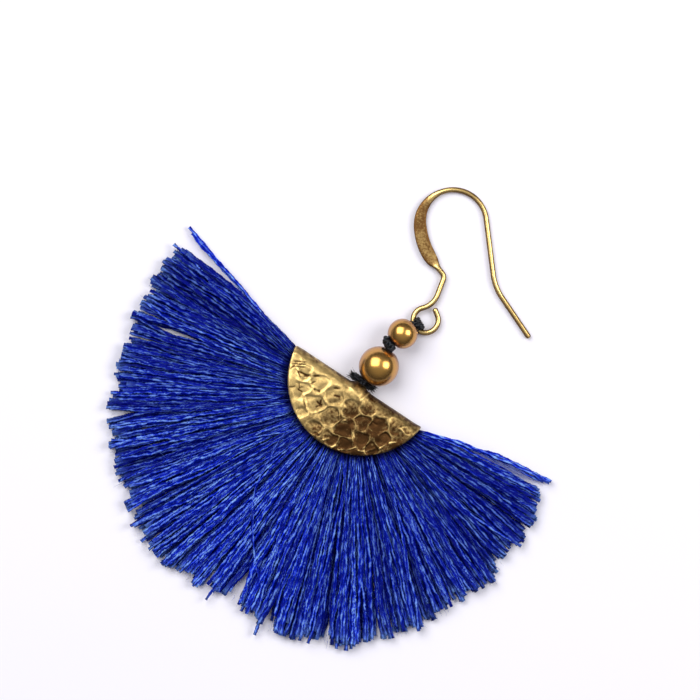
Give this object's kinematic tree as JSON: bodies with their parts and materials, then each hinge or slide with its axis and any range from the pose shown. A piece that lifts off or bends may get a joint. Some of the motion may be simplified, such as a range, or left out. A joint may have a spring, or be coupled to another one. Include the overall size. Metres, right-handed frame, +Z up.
{
  "type": "tassel earring",
  "caption": "Drop earring lying flat: a fan of cut thread in a folded stamped brass cap, beads on a knotted cord, and a french ear hook of brass wire.",
  "frame": {"origin": "middle of the outline, on the surface that the earring lies on", "axes": "+Y along the drop from the fan to the ear hook, +X along the fold of the cap, +Z up from the surface"},
  "size_m": [0.0629, 0.067, 0.0056],
  "materials": {
    "hook_brass": "bright drawn brass wire, slightly toned",
    "bead_brass": "polished brass beads, toned brown at the holes",
    "cap_brass": "stamped antique brass, bright on its ridges and brown in its cells",
    "black_cord": "matt black waxed cord",
    "blue_thread": "glossy royal blue twisted thread"
  },
  "bodies": {
    "root": {"ear_hook": "hook_brass", "small_bead": "bead_brass", "large_bead": "bead_brass", "bead_cord": "black_cord", "binding_knot": "black_cord", "cap": "cap_brass", "fan_tassel": "blue_thread"}
  },
  "joints": []
}
